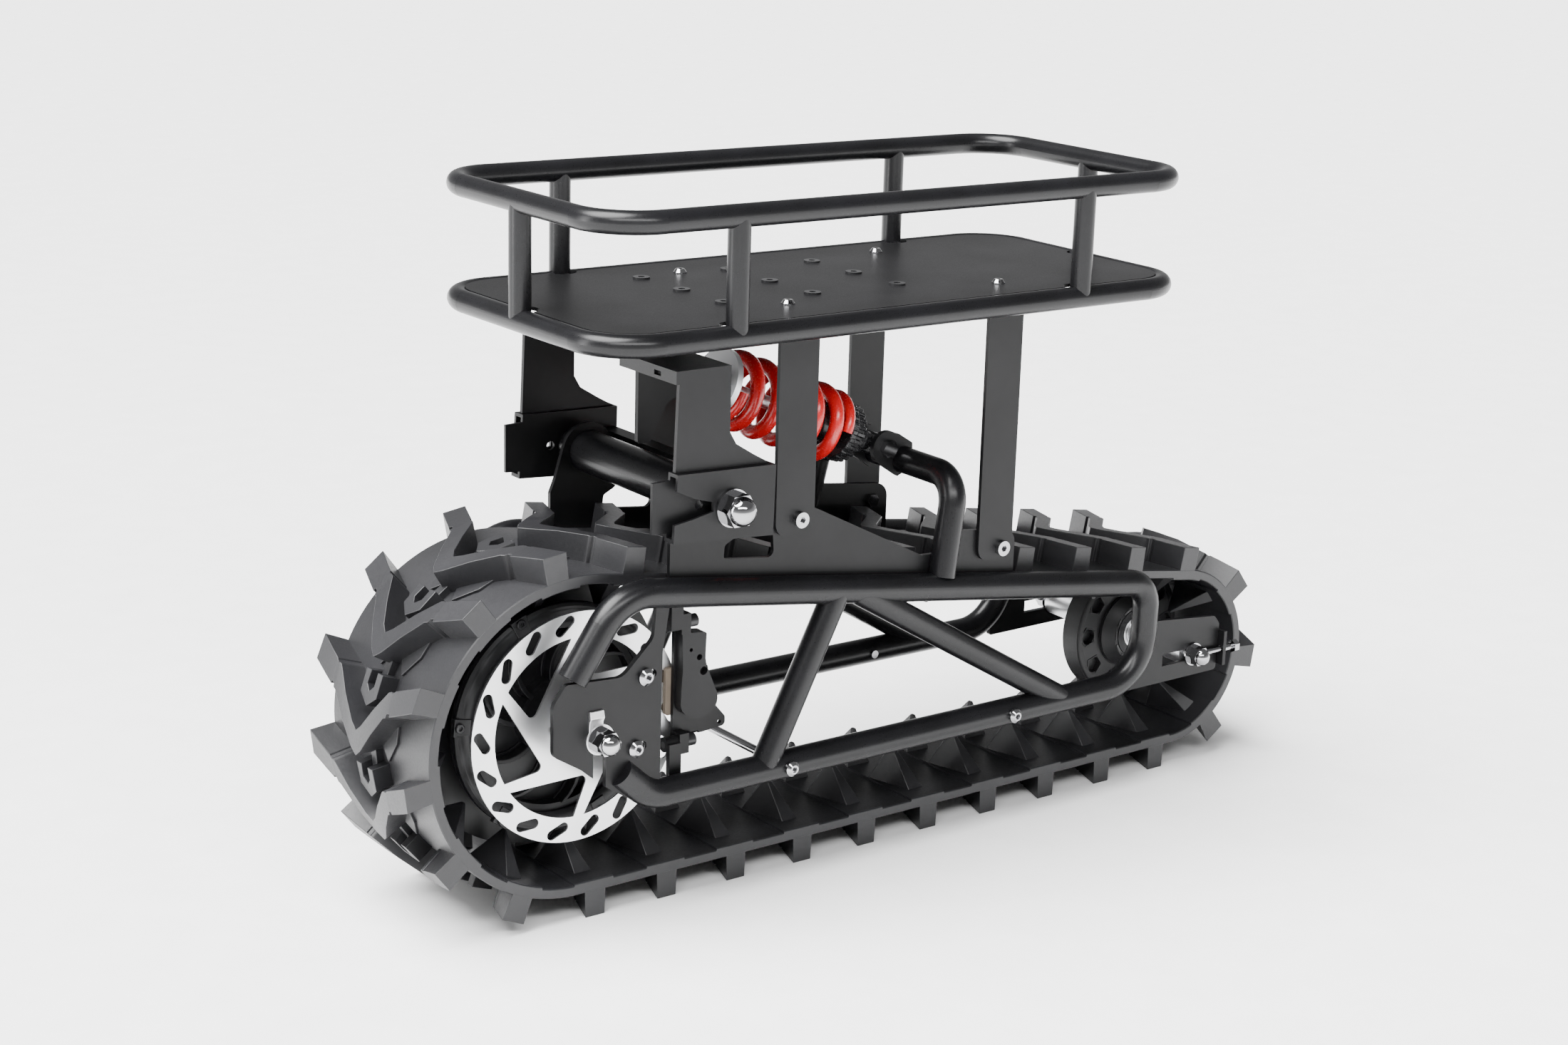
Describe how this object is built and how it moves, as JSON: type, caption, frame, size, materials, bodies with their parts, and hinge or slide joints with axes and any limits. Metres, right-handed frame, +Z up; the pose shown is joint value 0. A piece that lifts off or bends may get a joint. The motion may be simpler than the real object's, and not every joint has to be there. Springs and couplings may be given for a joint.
{
  "type": "rear track drive unit",
  "caption": "Rear track drive with a rubber belt on a disc-braked drive wheel and an idler, a sprung tilting carrier and a flat cargo rack.",
  "frame": {"origin": "centre of the footprint, on the ground", "axes": "+X forward (drive wheel end), +Y the brake disc side, +Z up"},
  "size_m": [0.9745, 0.3118, 0.613],
  "materials": {
    "frame_black": "satin",
    "plate_black": "matte",
    "chrome_hardware": "polished",
    "black_hardware": "satin",
    "belt_rubber": "matte",
    "bronze": "satin",
    "bearing_steel": "satin",
    "drum_black": "matte",
    "idler_plastic": "matte",
    "pad_lining": "matte",
    "damper_black": "satin",
    "spring_red": "gloss"
  },
  "bodies": {
    "track_frame": {"upper_tube_left": "frame_black", "upper_tube_right": "frame_black", "lower_tube_left": "frame_black", "lower_tube_right": "frame_black", "front_braces": "frame_black", "rear_braces": "frame_black", "side_plate_left": "plate_black", "side_plate_right": "plate_black", "dropout_left": "plate_black", "dropout_right": "plate_black", "slide_plates": "plate_black", "adjuster_plates": "plate_black", "cross_rod": "chrome_hardware", "frame_bolts": "chrome_hardware", "belt_band": "belt_rubber", "belt_lugs": "belt_rubber", "belt_teeth": "belt_rubber", "hoop_tube": "frame_black", "clevis_plates": "plate_black", "pivot_tube": "frame_black", "pivot_bushings": "bronze", "lower_ring": "frame_black", "upper_ring": "frame_black", "rack_uprights": "frame_black", "rack_plate": "plate_black", "rack_inserts": "black_hardware", "rack_bolts": "chrome_hardware", "front_struts": "plate_black", "rear_struts": "plate_black", "strut_bolts": "chrome_hardware", "front_axle": "chrome_hardware", "front_spacers": "bearing_steel", "front_nuts": "chrome_hardware", "caliper_tabs": "plate_black", "caliper_body": "plate_black", "caliper_bolts": "black_hardware", "brake_pads": "pad_lining", "shock_pin_rear": "chrome_hardware"},
    "drive_wheel": {"drive_drum": "drum_black", "drum_bearings": "bearing_steel", "rotor": "bearing_steel", "rotor_bolts": "black_hardware"},
    "idler_axle": {"rear_axle": "chrome_hardware", "rear_spacers": "bearing_steel", "rear_nuts": "chrome_hardware", "adjuster_bolts": "chrome_hardware"},
    "idler": {"idler_wheel": "idler_plastic", "idler_bearings": "bearing_steel"},
    "carrier": {"hat": "plate_black", "web": "plate_black", "c_bracket_left": "plate_black", "c_bracket_right": "plate_black", "carrier_bar": "plate_black", "pivot_axle": "chrome_hardware", "pivot_nuts": "chrome_hardware", "shock_pin_front": "chrome_hardware"},
    "damper_body": {"shock_body": "damper_black", "preload_collar": "damper_black", "spring": "spring_red"},
    "damper_rod": {"shock_rod": "bearing_steel"}
  },
  "joints": [
    {"name": "drive_wheel_spin", "type": "hinge", "parent": "track_frame", "child": "drive_wheel", "pos_m": [0.3192, 0, 0.171], "axis": [0, 1, 0], "continuous": true},
    {"name": "idler_tension", "type": "slide", "parent": "track_frame", "child": "idler_axle", "axis": [1, 0, 0], "range_m": [0, 0.006]},
    {"name": "idler_spin", "type": "hinge", "parent": "idler_axle", "child": "idler", "pos_m": [-0.374, 0, 0.124], "axis": [0, 1, 0], "continuous": true},
    {"name": "carrier_tilt", "type": "hinge", "parent": "track_frame", "child": "carrier", "pos_m": [0.2055, 0, 0.359], "axis": [0, -1, 0], "range_deg": [0, 14], "stiffness_Nm_per_rad": 120, "springref_deg": -2.86},
    {"name": "damper_swing", "type": "hinge", "parent": "track_frame", "child": "damper_body", "pos_m": [-0.0425, 0, 0.356], "axis": [0, 1, 0], "range_deg": [0, 1.2]},
    {"name": "damper_stroke", "type": "slide", "parent": "damper_body", "child": "damper_rod", "axis": [-0.919, 0, -0.3942], "range_m": [0, 0.024], "deforming": ["spring"]}
  ],
  "couplings": [
    {"joint": "damper_swing", "follows": "carrier_tilt", "ratio": 0.07312},
    {"joint": "damper_stroke", "follows": "carrier_tilt", "m_per_rad": 0.09352}
  ]
}
